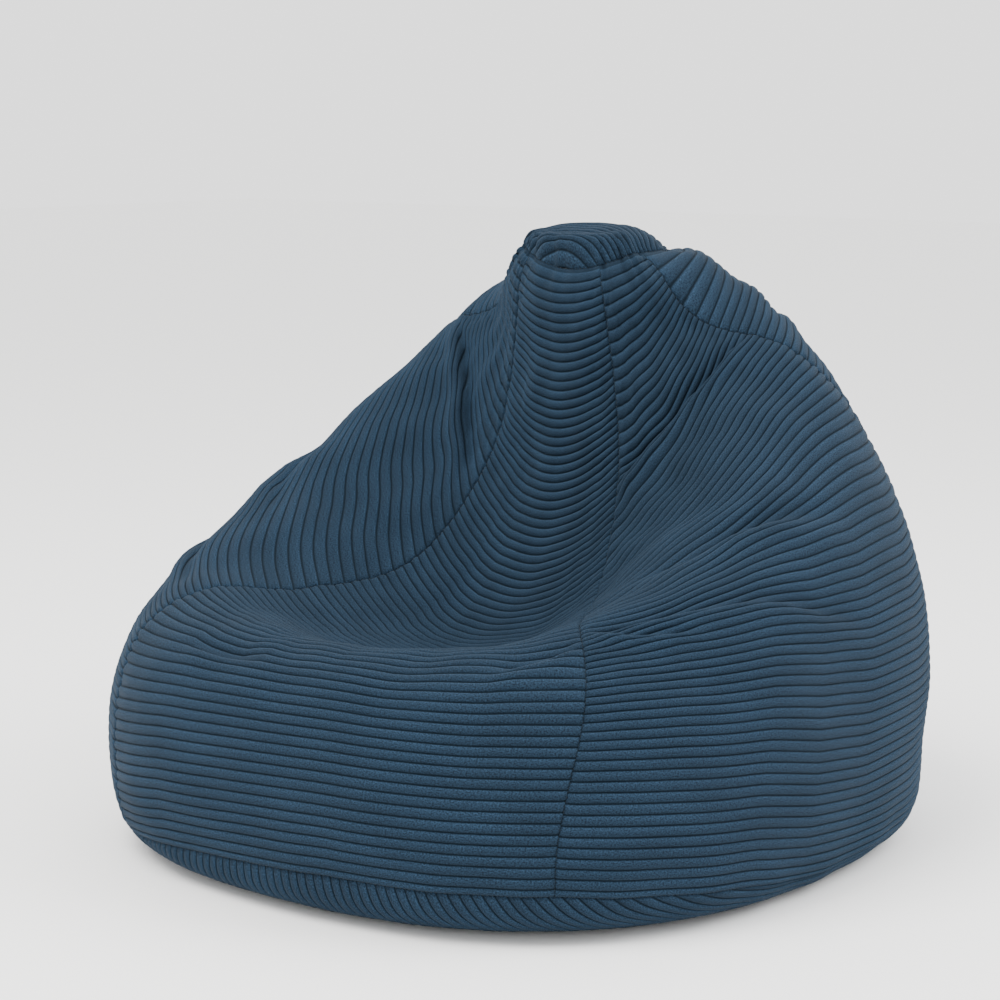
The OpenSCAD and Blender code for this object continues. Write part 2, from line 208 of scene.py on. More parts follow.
def seam_level(place):
    return np.interp(np.where(place > 4, place - 4, place), seam_places, seam_levels)


def crown_level(place):
    """How far the crown seam lies below its ring, as a height t: it dips at the front right."""
    turn = angle_at(place, 1 + 0 * place)
    return crown_dip * ((1 + np.cos(turn - crown_dip_angle)) / 2) ** 4


def body_point(place, t):
    """Points of the smooth body in millimetres."""
    width, front, back, front_z, side_z, back_z, square = np.moveaxis(ring(t), -1, 0)
    angle = angle_at(place, t)
    reach = (np.abs(np.cos(angle)) ** square + np.abs(np.sin(angle)) ** square) ** (-1 / square)
    across, along = np.cos(angle) * reach, np.sin(angle) * reach
    z = side_z + (back_z - front_z) / 2 * along + ((back_z + front_z) / 2 - side_z) * along ** 2
    return np.stack([width * across, (front + back) / 2 + (back - front) / 2 * along, z], -1)


def unit(v):
    return v / np.maximum(np.linalg.norm(v, axis=-1, keepdims=True), 1e-9)


def body_out(place, t):
    """Outward directions of the smooth body."""
    up = body_point(place, t + 0.002) - body_point(place, t - 0.002)
    round_ = body_point(place + 0.002, t) - body_point(place - 0.002, t)
    return unit(np.cross(round_, up))


def grid_normals(points):
    """Outward directions of a grid of points, whose rows run up and columns run round."""
    up = np.gradient(points, axis=0)
    round_ = np.gradient(points, axis=1)
    return unit(np.cross(round_, up))


def lengths(points, axis):
    """Distance run along one axis of a grid of points, from 0."""
    step = np.linalg.norm(np.diff(points, axis=axis), axis=-1)
    pad = [(0, 0)] * step.ndim
    pad[axis] = (1, 0)
    return np.cumsum(np.pad(step, pad), axis=axis)


def waves(u, v, size, seed, count=7):
    """Smooth seeded noise of about -1 to 1, whose features are about size across."""
    draw = np.random.default_rng(seed)
    total = 0
    for _ in range(count):
        turn, shift, scale = draw.uniform(0, 2 * pi), draw.uniform(0, 2 * pi), draw.uniform(0.7, 1.5)
        total = total + np.sin((u * cos(turn) + v * sin(turn)) * 2 * pi / (size * 2 * scale) + shift)
    return total / count ** 0.5


def bump(x, width):
    return np.exp(-(x / width) ** 2)


# ------------------------------------------------------------------------------------------------
# Filled shape
# The beads press the cover outwards and its seams hold it back, which puckers the cloth. A cloth
# simulation of the closed cover, pinned along its seams, gives those puckers. It is removed afterwards.

swell_columns = 192
swell_rows = 90
swell_limit = 3.2
swell_spread = 20
swell_u = np.linspace(0, 1, swell_rows)
swell_place = np.linspace(0, 4, swell_columns + 1)
swell = np.zeros((swell_rows, swell_columns + 1))


def between_seams(place, t):
    """Share of the way up from the base seam to the crown seam."""
    foot = seam_level(place)
    return (t - foot) / (1 - crown_level(place) - foot)


def swollen(place, t):
    """How far the filled cover stands out there, from the simulated grid."""
    u = np.clip(between_seams(place, t), 0, 1) * (swell_rows - 1)
    v = np.clip(place, 0, 4) / 4 * swell_columns
    i = np.clip(u.astype(int), 0, swell_rows - 2)
    j = np.clip(v.astype(int), 0, swell_columns - 1)
    a, b = u - i, v - j
    return ((swell[i, j] * (1 - b) + swell[i, j + 1] * b) * (1 - a)
            + (swell[i + 1, j] * (1 - b) + swell[i + 1, j + 1] * b) * a)


def smoothed(values, passes):
    """A grid that is closed round the chair, blurred by averaging with its neighbours."""
    for _ in range(passes):
        values = (np.roll(values, 1, 1) + 2 * values + np.roll(values, -1, 1)) / 4
        tall = np.pad(values, ((1, 1), (0, 0)), mode="edge")
        values = (tall[:-2] + 2 * values + tall[2:]) / 4
    return values


below, above = 6, 5
rows = below + swell_rows + above
u, place = np.meshgrid(swell_u, swell_place[:-1], indexing="ij")
foot, head = seam_level(place[:1]), 1 - crown_level(place[:1])
t = np.concatenate([bottom_t + (foot - bottom_t) * np.arange(below)[:, None] / below,
                    foot + (head - foot) * u,
                    head + (top_t - head) * np.arange(1, above + 1)[:, None] / above])
place = np.broadcast_to(place[:1], t.shape)
start = body_point(place, t)
shape = bmesh.new()
bmesh.ops.create_uvsphere(shape, u_segments=swell_columns, v_segments=rows + 1, radius=1)
ball = np.array([tuple(v.co) for v in shape.verts])
row = np.rint((np.arcsin(np.clip(ball[:, 2], -1, 1)) / pi + 0.5) * (rows + 1)).astype(int) - 1
column = np.rint(np.arctan2(ball[:, 1], ball[:, 0]) / (2 * pi) * swell_columns).astype(int) % swell_columns
ring_row = np.clip(row, 0, rows - 1)
points = start[ring_row, column]
points[row < 0] = (0, 0, 0)
points[row == rows] = start[-1].mean(0)
mesh = bpy.data.meshes.new("filled_cover")
shape.to_mesh(mesh)
shape.free()
mesh.vertices.foreach_set("co", (points * MM).reshape(-1))
cover = add_to_scene("filled_cover", mesh)
sewn = (row <= below) | (row >= below + swell_rows - 1) | (column % (swell_columns // 4) == 0)
# The sitter's hollow stays pressed in
hollow = 0.6 * bump(place[ring_row, column] - 0.5, 0.55) * bump(t[ring_row, column] - 0.66, 0.26)
pins = cover.vertex_groups.new(name="pins")
for i in range(len(points)):
    pins.add([i], 1.0 if sewn[i] else float(hollow[i]), "REPLACE")
press = cover.modifiers.new("press", "CLOTH")
press.settings.vertex_group_mass = "pins"
press.settings.use_pressure = True
press.settings.uniform_pressure_force = 4
press.settings.shrink_min = -0.03
press.settings.effector_weights.gravity = 0
press.collision_settings.use_collision = False
press.point_cache.frame_start = 1
press.point_cache.frame_end = 20
for frame_number in range(1, 21):
    bpy.context.scene.frame_set(frame_number)
pressed = cover.evaluated_get(bpy.context.evaluated_depsgraph_get()).data
after = np.zeros(len(points) * 3)
pressed.vertices.foreach_get("co", after)
moved = ((after.reshape(-1, 3) / MM - points) * body_out(place, t)[ring_row, column]).sum(1)
grid = np.zeros((rows, swell_columns))
grid[ring_row, column] = np.where((row >= 0) & (row < rows), moved, 0)
bpy.data.objects.remove(cover)
bpy.data.meshes.remove(mesh)
bpy.context.scene.frame_set(1)
# Only the puckers count, because the rings already hold the full shape
pucker = smoothed(grid, 2)
pucker = swell_limit * np.tanh((pucker - smoothed(pucker, swell_spread)) / swell_limit)
pucker = pucker[below:below + swell_rows] * (ease(swell_u / 0.04) * ease((1 - swell_u) / 0.04))[:, None]
pucker = np.concatenate([pucker, pucker[:, :1]], 1)
from_seam = np.abs(swell_place - np.round(swell_place))
swell = pucker * (1 - 0.8 * bump(from_seam, 0.06))

# ------------------------------------------------------------------------------------------------
# Side panels
# Four panels of jumbo corduroy, a cotton cloth with a cut pile in broad wales 10 mm apart. They are
# sewn to each other at the corners, and their wales run level round the chair.

wale = 10.0
wale_height = 2.5
cloth_thick = 1.2
seam_depth = 1.0
crown_depth = 4.5
crown_gather = 2.4
base_gather = 1.2
left_bulge = 6.5
samples = np.array([0.0, 0.06, 0.14, 0.28, 0.5, 0.72, 0.86, 0.94])
panel_columns = 58

# How far the seam's stitches press a wale down at its end, from 0 to 1
edge_press = 0.8


def wale_profile(part):
    """Height of the pile across a wale, from 0 in the groove to 1 on its top."""
    return 1 - np.abs(2 * part - 1) ** 2.8


# The base seam opens along the back, where the cover's zip lies in it
zip_gap = 0.0155
zip_from, zip_to, zip_ramp = 2 + 2 / 14, 2 + 12 / 14, 0.028


def zip_opening(place):
    """Half the gap in the base seam, as a height t."""
    ends = [zip_from - zip_ramp, zip_from, zip_to, zip_to + zip_ramp]
    return np.interp(place, ends, [0, zip_gap, zip_gap, 0])

# Folds along the wales. Each is a line of (mm across the panel from its middle, mm up from the base
# seam), then its half width, depth and the cloth that it swallows, in millimetres.
FOLDS = {
    "front": [
        ([(180, 204), (205, 211), (240, 219), (294, 236)], 9, 5, 6),
        ([(-170, 198), (-101, 197), (-60, 198)], 9, 4, 5),
        ([(-120, 330), (-20, 318), (90, 326)], 16, 4, 4),
    ],
    "right": [
        ([(-430, 560), (-113, 556), (43, 552), (143, 538), (210, 532), (267, 520), (330, 500)], 9, 11, 24),
        ([(-150, 384), (-79, 367), (-21, 351), (70, 330)], 13, 5, 6),
        ([(-250, 394), (-161, 373), (-94, 367), (10, 350)], 10, 4, 5),
        ([(-330, 292), (-237, 295), (-180, 290), (-123, 282), (-75, 274), (90, 228)], 12, 6, 8),
        ([(-300, 300), (-251, 272), (-222, 267), (-170, 257)], 8, 5, 5),
    ],
    "back": [
        ([(-300, 500), (-200, 496), (-90, 508), (10, 500)], 14, 7, 9),
        ([(40, 410), (140, 402), (250, 415)], 16, 6, 7),
        ([(-260, 300), (-120, 290), (30, 297)], 20, 5, 5),
    ],
    "left": [
        ([(330, 545), (-0, 550), (-160, 536), (-330, 505)][::-1], 10, 9, 16),
        ([(-40, 360), (60, 352), (170, 372)], 14, 5, 6),
        ([(20, 268), (160, 284), (310, 288)], 12, 6, 7),
    ],
}


def fold_line(fold, across):
    line = np.array(fold[0], float)
    rise = np.interp(across, line[:, 0], line[:, 1])
    start, stop = line[0, 0], line[-1, 0]
    reach = 0.3 * (stop - start)
    fade = ease((across - start) / reach) * ease((stop - across) / reach)
    return rise, fade


def panel_layout(number, folds):
    """Places and heights of a panel's grid, whose rows follow its wales, and distances on it."""
    share = np.linspace(0, 1, panel_columns)
    share = share - 0.13 * np.sin(2 * pi * share)
    heights = np.linspace(0, 1, 500)
    middle = body_point(np.full(500, number + 0.5), heights)
    rise = lengths(middle, 0)
    tall = rise[-1]
    across_at = lengths(body_point(number + share[None, :], np.full((1, len(share)), 0.12)), 1)[0]
    across = across_at - across_at[-1] / 2
    swallowed = sum(f[3] for f in folds)
    count = int((tall + swallowed) / wale)
    phase = (np.arange(count)[:, None] + samples[None, :]).ravel()
    phase = np.r_[0.3, phase[phase > 0.3], count + 0.3] - 0.3
    wanted = phase / phase[-1] * (tall + swallowed)
    up = np.zeros((len(wanted), len(share)))
    for j, u in enumerate(across):
        cloth = rise.copy()
        for fold in folds:
            line, fade = fold_line(fold, u)
            step = (1 + np.tanh((rise - line) / fold[1])) / 2
            step = (step - step[0]) / (step[-1] - step[0])
            cloth = cloth + fold[3] * (fade * step + (1 - fade) * rise / tall)
        up[:, j] = np.interp(wanted, cloth, rise)
    t = np.interp(up, rise, heights)
    place = number + np.broadcast_to(share, t.shape)
    foot = seam_level(place)
    t = foot + t * (1 - crown_level(place) - foot) + zip_opening(place) * (1 - t) ** 20
    cloth_up = np.broadcast_to((phase + 0.3)[:, None], t.shape)
    return place, t, up, np.broadcast_to(across, t.shape), cloth_up, tall


def seam_ripple(seam, run):
    """Small puckers along a side seam, the same for the panels on both sides of it."""
    return waves(0 * run, run, 9, 20 + seam % 4)


def round_ripple(place, seed):
    """Gathers round the crown seam or the base seam, the same above and below it."""
    turn = place * pi / 2
    return waves(np.cos(turn) * 100, np.sin(turn) * 100, 12, seed)


def cloth_out(number, folds, place, t, across, up, smooth):
    """How far a panel's cloth stands out from the smooth body, and its distances to its edges."""
    row, column = lengths(smooth, 1), lengths(smooth, 0)
    left, right = row, row[:, -1:] - row
    side, crown = np.minimum(left, right), column[-1:] - column
    off_ends = (1 - bump(column, 25)) * (1 - bump(crown, 25))
    ridge = 2.0 + 5.0 * bump(place - 1.85, 0.45)
    out = ridge * bump(crown - 34, 20) - crown_depth * bump(crown, 12)
    out = out + crown_gather * round_ripple(place, 81) * bump(crown, 34)
    closed = 1 - zip_opening(place) / zip_gap
    out = out + base_gather * round_ripple(place, 61) * bump(column, 30) * closed
    out = out - seam_depth * bump(column, 5.0) * closed * (1 - bump(side, 5.0))
    out = out + 1.2 * waves(across, up * 1.6, 90, 31 + number) * (1 - bump(side, 30)) * off_ends
    out = out + swollen(place, t)
    round_from_left = np.abs((place + 2) % 4 - 2)
    out = out + left_bulge * bump(round_from_left, 0.6) * bump(t - 0.18, 0.14) * off_ends
    held = (1 - bump(side, 14)) * (1 - bump(column, 14)) * (1 - bump(crown, 14))
    for fold in folds:
        line, fade = fold_line(fold, across)
        off = up - line
        valley = bump(off, np.where(off < 0, 0.4, 1.4) * fold[1])
        out = out - held * fade * fold[2] * (valley - 0.6 * bump(off + 1.5 * fold[1], fold[1]))
    return out, left, right, crown, column


def panel_points(number, folds):
    place, t, up, across, cloth_up, tall = panel_layout(number, folds)
    smooth = body_point(place, t)
    out, left, right, crown, base = cloth_out(number, folds, place, t, across, up, smooth)
    off_ends = (1 - bump(base, 25)) * (1 - bump(crown, 25))
    out = out + 0.7 * seam_ripple(number, base) * bump(left, 22) * off_ends
    out = out + 0.7 * seam_ripple(number + 1, base) * bump(right, 22) * off_ends
    side = np.minimum(left, right)
    out = out - seam_depth * bump(side, 5.0)
    flat_out = body_out(place, t)
    cloth_face = smooth + flat_out * out[..., None]
    part = cloth_up % 1
    edge = np.minimum(np.minimum(side, base), crown)
    height = wale_profile(part)
    pile = np.clip(height, 0, 1.2)
    height = height * (1 + 0.10 * waves(across, cloth_up * wale, 26, 41 + number))
    height = height * (1 - edge_press * bump(edge, 1.3))
    near = bump(edge, 9)[..., None]
    outward = unit(grid_normals(cloth_face) * (1 - near) + flat_out * near)
    face = cloth_face + outward * (height * wale_height - wale_height)[..., None]
    inner = cloth_face - outward * (wale_height + cloth_thick)
    return place, flat_out, face, inner, across, cloth_up * wale, pile


def cloth_piece(name, face, inner, across, along, pile, material):
    """A sheet of cloth with both its faces, from a grid of points in millimetres."""
    rows, columns = face.shape[:2]
    shape = bmesh.new()
    bmesh.ops.create_grid(shape, x_segments=columns - 1, y_segments=rows - 1, size=1)
    mesh = bpy.data.meshes.new(name)
    shape.to_mesh(mesh)
    shape.free()
    mesh.vertices.foreach_set("co", (face * MM).reshape(-1))
    holder = add_to_scene(name, mesh)
    thick = holder.modifiers.new("thick", "SOLIDIFY")
    thick.thickness = cloth_thick * MM
    thick.offset = -1
    both = bpy.data.meshes.new_from_object(holder.evaluated_get(bpy.context.evaluated_depsgraph_get()))
    holder.modifiers.clear()
    holder.data = both
    bpy.data.meshes.remove(mesh)
    both.name = name
    count = rows * columns
    both.vertices.foreach_set("co", (np.concatenate([face, inner]) * MM).reshape(-1))
    pile_layer = both.attributes.new("pile", "FLOAT", "POINT")
    pile_layer.data.foreach_set("value", np.r_[pile.reshape(-1), np.zeros(count)].astype(np.float32))
    corner = np.zeros(len(both.loops), int)
    both.loops.foreach_get("vertex_index", corner)
    flat = np.stack([across, along], -1).reshape(-1, 2) * MM
    layer = both.uv_layers.new(name="cloth")
    layer.data.foreach_set("uv", flat[corner % count].reshape(-1))
    both.polygons.foreach_set("use_smooth", np.ones(len(both.polygons), bool))
    both.materials.clear()
    both.materials.append(material)
    both.update()
    return holder


# Cotton corduroy, woven with a cut pile and brushed: soft matt wales with a faint bloom at grazing
# angles, grains of pile about 1 mm across, and near-black lines between wales, where the bare ground
# cloth's own darker colour is deepened with painted shade. One edge of each wale, the upper edge on the
# side panels, is painted lighter and the rest darker: a painted highlight and painted shade from light above.
corduroy, tree = new_material("cut_pile_cotton_corduroy")
pile = node(tree, "ShaderNodeAttribute", {"attribute_name": "pile"}).outputs["Fac"]
cloth_map = node(tree, "ShaderNodeUVMap", {"uv_map": "cloth"}).outputs["UV"]
grain_map = node(tree, "ShaderNodeMapping", Vector=cloth_map, Scale=(1000 / 1.3, 1000 / 1.0, 1)).outputs[0]
grain = node(tree, "ShaderNodeTexNoise", Vector=grain_map, Scale=0.8, Detail=2, Roughness=0.6).outputs[0]
cloud_map = node(tree, "ShaderNodeMapping", Vector=cloth_map, Scale=(1000 / 90, 1000 / 45, 1)).outputs[0]
cloud = node(tree, "ShaderNodeTexNoise", Vector=cloud_map, Scale=1, Detail=2, Roughness=0.5).outputs[0]
tops = node(tree, "ShaderNodeValToRGB", Fac=grain)
tops.color_ramp.elements[0].position = 0.36
tops.color_ramp.elements[0].color = linear("#0c1722")
tops.color_ramp.elements[1].position = 0.64
tops.color_ramp.elements[1].color = linear("#1f3142")
shade = node(tree, "ShaderNodeMapRange", Value=cloud, From_Min=0.3, From_Max=0.7, To_Min=0.9, To_Max=1.1)
shaded = node(tree, "ShaderNodeMix", {"data_type": "RGBA", "blend_type": "MULTIPLY"}, _0=1.0,
              _6=tops.outputs[0], _7=shade.outputs[0]).outputs[2]
up_cloth = node(tree, "ShaderNodeSeparateXYZ", Vector=cloth_map).outputs["Y"]
wales_up = node(tree, "ShaderNodeMath", {"operation": "MULTIPLY"}, _0=up_cloth, _1=1 / (wale * MM)).outputs[0]
over_wale = node(tree, "ShaderNodeMath", {"operation": "FRACT"}, _0=wales_up).outputs[0]
# Painted highlight and shade: the upper edge of each wale is painted up to 1.45 times lighter and its lower part
# darker, as if lit from above.
painted_wale_highlight = node(tree, "ShaderNodeValToRGB", Fac=over_wale)
painted_wale_highlight.color_ramp.elements[0].color = (0.80, 0.80, 0.80, 1)
painted_wale_highlight.color_ramp.elements[1].color = (1.0, 1.0, 1.0, 1)
for position, light in ((0.45, 0.88), (0.74, 1.12), (0.88, 1.45)):
    painted_wale_highlight.color_ramp.elements.new(position).color = (light, light, light, 1)
wale_highlighted = node(tree, "ShaderNodeMix", {"data_type": "RGBA", "blend_type": "MULTIPLY"}, _0=1.0,
              _6=shaded, _7=painted_wale_highlight.outputs[0]).outputs[2]
# Painted shade: by the pile's height, the grooves between wales are painted near black, over the bare ground cloth's
# own darker colour.
depth = node(tree, "ShaderNodeMapRange", {"interpolation_type": "SMOOTHSTEP"}, Value=pile,
             From_Min=0.05, From_Max=0.72)
colour = node(tree, "ShaderNodeMix", {"data_type": "RGBA"}, _0=depth.outputs[0],
              _6=linear("#07131c"), _7=wale_highlighted).outputs[2]
fluff = node(tree, "ShaderNodeBump", Height=grain, Strength=0.6, Distance=0.001).outputs[0]
finish_material(tree, node(tree, "ShaderNodeBsdfPrincipled", Base_Color=colour, Roughness=0.92,
                           Normal=fluff, Sheen_Weight=0.04, Sheen_Roughness=0.45,
                           Sheen_Tint=linear("#9db4c6"), Specular_IOR_Level=0.12))

panel_grids = []
for number, side in enumerate(FOLDS):
    made = panel_points(number, FOLDS[side])
    panel_grids.append(made[:3])
    panel = cloth_piece("cover_" + side, *made[2:], corduroy)
    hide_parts(side + "_panel")
    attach(panel, "chair")

# ------------------------------------------------------------------------------------------------
# Base panel
# One round of the same corduroy, whose wales run from front to back. Its rim rolls up off the floor
# to the base seam.

def round_cloth(from_t, middle, turned, step, opens=1):
    """A round of corduroy laid flat: a grid whose rows follow its wales, out to its sewn rim."""
    places = np.linspace(0, 4, 721)
    rim_t = 1 - crown_level(places) if turned else seam_level(places) - opens * zip_opening(places)
    heights = from_t + (rim_t - from_t) * np.linspace(0, 1, 60)[:, None]
    spokes = body_point(np.broadcast_to(places, (60, 721)), heights)
    centre = np.broadcast_to(np.array(middle, float), (1, 721, 3))
    run = lengths(np.concatenate([centre, spokes]), 0)
    angle = np.unwrap(np.arctan2(spokes[0, :, 1] - middle[1], spokes[0, :, 0] - middle[0]))
    rim = run[-1]
    flat_rim = np.stack([rim * np.cos(angle), rim * np.sin(angle)], -1)
    if turned:
        flat_rim = flat_rim[:, ::-1]
    low, high = flat_rim[:, 0].min() + 0.4, flat_rim[:, 0].max() - 0.4
    count = int((high - low) / wale)
    phase = (np.arange(-1, count + 2)[:, None] + samples[None, :]).ravel() * wale + low
    x = np.r_[low, phase[(phase > low + 0.2) & (phase < high - 0.2)], high]
    right = flat_rim[:, 0].argmax()
    loop = np.roll(flat_rim[:-1], -right, axis=0)
    left = loop[:, 0].argmin()
    one, two = loop[:left + 1], np.r_[loop[left:], loop[:1]]
    y_one = np.interp(x, one[::-1, 0], one[::-1, 1])
    y_two = np.interp(x, two[:, 0], two[:, 1])
    y_low, y_high = np.minimum(y_one, y_two), np.maximum(y_one, y_two)
    q = (1 - np.cos(np.linspace(0, pi, step))) / 2
    q = 0.5 * q + 0.5 * np.linspace(0, 1, step)
    flat_x = np.broadcast_to(x[:, None], (len(x), step))
    flat_y = y_low[:, None] + (y_high - y_low)[:, None] * q
    ax, ay = (flat_y, flat_x) if turned else (flat_x, flat_y)
    turn = np.mod(np.arctan2(ay, ax) - angle[0], 2 * pi) + angle[0]
    place = np.interp(turn, angle, places)
    reach = np.hypot(ax, ay)
    edge = np.interp(place, places, rim)
    reach = np.minimum(reach, edge)
    first = np.interp(place, places, run[1])
    wide = np.clip((reach - first) / (edge - first), 0, 1)
    t = from_t + (np.interp(place, places, rim_t) - from_t) * wide
    inner_share = np.clip(reach / first, 0, 1)[..., None]
    base = body_point(place, np.full_like(place, from_t))
    points = np.where(wide[..., None] > 0, body_point(place, t),
                      np.array(middle) + (base - np.array(middle)) * inner_share)
    outward = body_out(place, np.minimum(t, from_t - 0.003) if turned else np.maximum(t, from_t + 0.003))
    level = np.array([0, 0, 1.0 if turned else -1.0])
    near = ease(wide * 6)[..., None]
    outward = unit(outward * near + level * (1 - near))
    return points, outward, edge - reach, place, flat_x, flat_y


rim_curve = 17


def finish_round(points, outward, rim_gap, place, flat_x, flat_y, up, deep, seed):
    closed = 1 - (0 if up else 1) * zip_opening(place) / zip_gap
    gather = crown_gather if up else base_gather
    out = (gather * round_ripple(place, seed) * bump(rim_gap, 30) - deep * bump(rim_gap, rim_curve)) * closed
    part = ((flat_x - flat_x.min()) / wale) % 1
    height = wale_profile(part)
    pile = np.clip(height, 0, 1.2)
    height = height * (1 + 0.08 * waves(flat_x, flat_y, 26, seed + 1))
    height = height * (1 - edge_press * bump(rim_gap, 1.3))
    if not up:
        height = np.minimum(height, 1)
        out = np.where(points[..., 2] < 3, np.minimum(out, 0), out)
    cloth_face = points + outward * out[..., None]
    face = cloth_face + outward * (height * wale_height - wale_height)[..., None]
    inner = cloth_face - outward * (wale_height + cloth_thick)
    return face, inner, flat_y, flat_x - flat_x.min(), pile


layout = round_cloth(bottom_t, (0, 0, 0), False, 64)
made = finish_round(*layout, False, seam_depth, 61)
base = cloth_piece("cover_base", *made, corduroy)
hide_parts("base_panel")
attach(base, "chair")

# ------------------------------------------------------------------------------------------------
# Crown cap
# A small round of corduroy sewn over the opening where the side panels gather at the top.

crown_middle = body_point(np.linspace(0, 4, 200), np.full(200, top_t)).mean(0) * np.array([0, 1, 1])
layout = round_cloth(top_t, crown_middle, True, 40)
made = finish_round(*layout, True, crown_depth, 81)
crown = cloth_piece("cover_crown", *made, corduroy)
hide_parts("crown_cap")
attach(crown, "chair")

# ------------------------------------------------------------------------------------------------
# Seam stitches
# Bonded polyester thread in the bottom of every seam: one short stitch each 4.2 mm. The crown and base
# seams run right round, and the base seam's stops where the zip starts.

stitch_pitch, stitch_half, stitch_thick = 4.2, 1.6, 0.34


def finish_piece(name, shape, material, smooth=True):
    """Turns a bmesh into a finished object with one material."""
    mesh = bpy.data.meshes.new(name)
    shape.to_mesh(mesh)
    shape.free()
    mesh.polygons.foreach_set("use_smooth", np.full(len(mesh.polygons), smooth))
    mesh.materials.append(material)
    return add_to_scene(name, mesh)


def grains(name, middle, along, out, half_length, half_across, half_out, material):
    """Many low ellipsoids as one piece, for stitches or zip teeth. Sizes are in millimetres."""
    shape = bmesh.new()
    bmesh.ops.create_uvsphere(shape, u_segments=6, v_segments=4, radius=1)
    one = np.array([tuple(v.co) for v in shape.verts]) * (half_out, half_across, half_length)
    count = len(middle)
    while len(shape.verts) < len(one) * count:
        left = count - len(shape.verts) // len(one)
        some = [f for f in shape.faces][:left * len(shape.faces) * len(one) // len(shape.verts)]
        bmesh.ops.duplicate(shape, geom=some)
    piece = finish_piece(name, shape, material)
    z = unit(along)
    y = unit(np.cross(z, out))
    x = np.cross(y, z)
    placed = middle[:, None] + np.einsum("pk,nkj->npj", one, np.stack([x, y, z], 1))
    piece.data.vertices.foreach_set("co", (placed * MM).reshape(-1))
    piece.data.update()
    return piece


# Bonded polyester thread, dyed navy and slightly shiny.
thread, tree = new_material("bonded_polyester_thread")
spot = node(tree, "ShaderNodeTexCoord").outputs["Object"]
twist = node(tree, "ShaderNodeTexNoise", Vector=spot, Scale=900, Detail=2).outputs[0]
thread_shade = node(tree, "ShaderNodeValToRGB", Fac=twist)
thread_shade.color_ramp.elements[0].color = linear("#0c141b")
thread_shade.color_ramp.elements[1].color = linear("#1a2732")
finish_material(tree, node(tree, "ShaderNodeBsdfPrincipled", Base_Color=thread_shade.outputs[0],
                           Roughness=0.55, Specular_IOR_Level=0.3))


def stitches(name, line, out, node_name):
    """Stitches along a line of points, lying in a seam whose outward directions are out."""
    run = np.r_[0, np.cumsum(np.linalg.norm(np.diff(line, axis=0), axis=1))]
    at = np.arange(stitch_pitch / 2, run[-1] - stitch_pitch / 3, stitch_pitch)

    def sampled(values, step=0):
        return np.stack([np.interp(at + step, run, values[:, k]) for k in range(3)], -1)

    up = unit(sampled(out))
    piece = grains(name, sampled(line) + 0.2 * up, sampled(line, 1) - sampled(line, -1), up,
                   stitch_half, stitch_thick, stitch_thick, thread)
    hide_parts(node_name)
    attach(piece, "chair")


for number, seam in enumerate(("front_left", "front_right", "back_right", "back_left")):
    place, out, face = panel_grids[number]
    stitches("stitches_" + seam, face[2:-2, 0], out[2:-2, 0], seam + "_seam_thread")

order = [2, 3, 0, 1, 2]
round_line = {row: [np.concatenate([grid[row] for grid in (panel_grids[k][part] for k in order)])
                    for part in (0, 1, 2)] for row in (0, -1)}
crown_row = slice(panel_columns, 5 * panel_columns)
place, out, face = [values[crown_row] for values in round_line[-1]]
stitches("stitches_crown", face, out, "crown_seam_thread")
place, out, face = round_line[0]
turns = np.arange(len(place)) >= 4 * panel_columns
sewn = np.where(turns, place < zip_from - 0.01, place > zip_to + 0.01) | (np.floor(place) != 2)
stitches("stitches_base", face[sewn], out[sewn], "base_seam_thread")

# ------------------------------------------------------------------------------------------------
# Cover zip
# A size 5 nylon coil zip in the base seam along the back, sewn behind the turned edges on two woven
# tapes. It follows an arc about an upright axis, so that its slider runs true.

zip_middle = np.array([0, 366 + 2.5 - 545, 36.0])
zip_radius = 545.0
zip_start, zip_end = radians(64), radians(116)
coil_near, coil_far, coil_half_thick = 0.2, 3.3, 1.2
tape_thick = 0.7

# Woven polyester tape with a fine herringbone.
tape_cloth, tree = new_material("woven_polyester_zip_tape")
cloth_map = node(tree, "ShaderNodeUVMap", {"uv_map": "cloth"}).outputs["UV"]
rib = node(tree, "ShaderNodeTexWave", {"bands_direction": "X"}, Vector=cloth_map, Scale=380, Distortion=1.5,
           Detail=1).outputs["Fac"]
rib_shade = node(tree, "ShaderNodeValToRGB", Fac=rib)
rib_shade.color_ramp.elements[0].color = linear("#0d151d")
rib_shade.color_ramp.elements[1].color = linear("#1b2937")
rib_bump = node(tree, "ShaderNodeBump", Height=rib, Strength=0.4, Distance=0.0003).outputs[0]
finish_material(tree, node(tree, "ShaderNodeBsdfPrincipled", Base_Color=rib_shade.outputs[0],
                           Roughness=0.8, Normal=rib_bump, Specular_IOR_Level=0.2))

# Extruded nylon monofilament, dyed navy.
nylon, tree = new_material("nylon_monofilament_coil")
finish_material(tree, node(tree, "ShaderNodeBsdfPrincipled", Base_Color=linear("#141f2a"),
                           Roughness=0.35, Specular_IOR_Level=0.45))

# Die-cast zinc, painted dark grey.
slider_paint, tree = new_material("painted_zinc_die_casting")
spot = node(tree, "ShaderNodeTexCoord").outputs["Object"]
peel = node(tree, "ShaderNodeTexNoise", Vector=spot, Scale=1400, Detail=1).outputs[0]
peel_bump = node(tree, "ShaderNodeBump", Height=peel, Strength=0.1, Distance=0.0002).outputs[0]
finish_material(tree, node(tree, "ShaderNodeBsdfPrincipled", Base_Color=linear("#23262a"), Metallic=0.3,
                           Roughness=0.4, Normal=peel_bump))

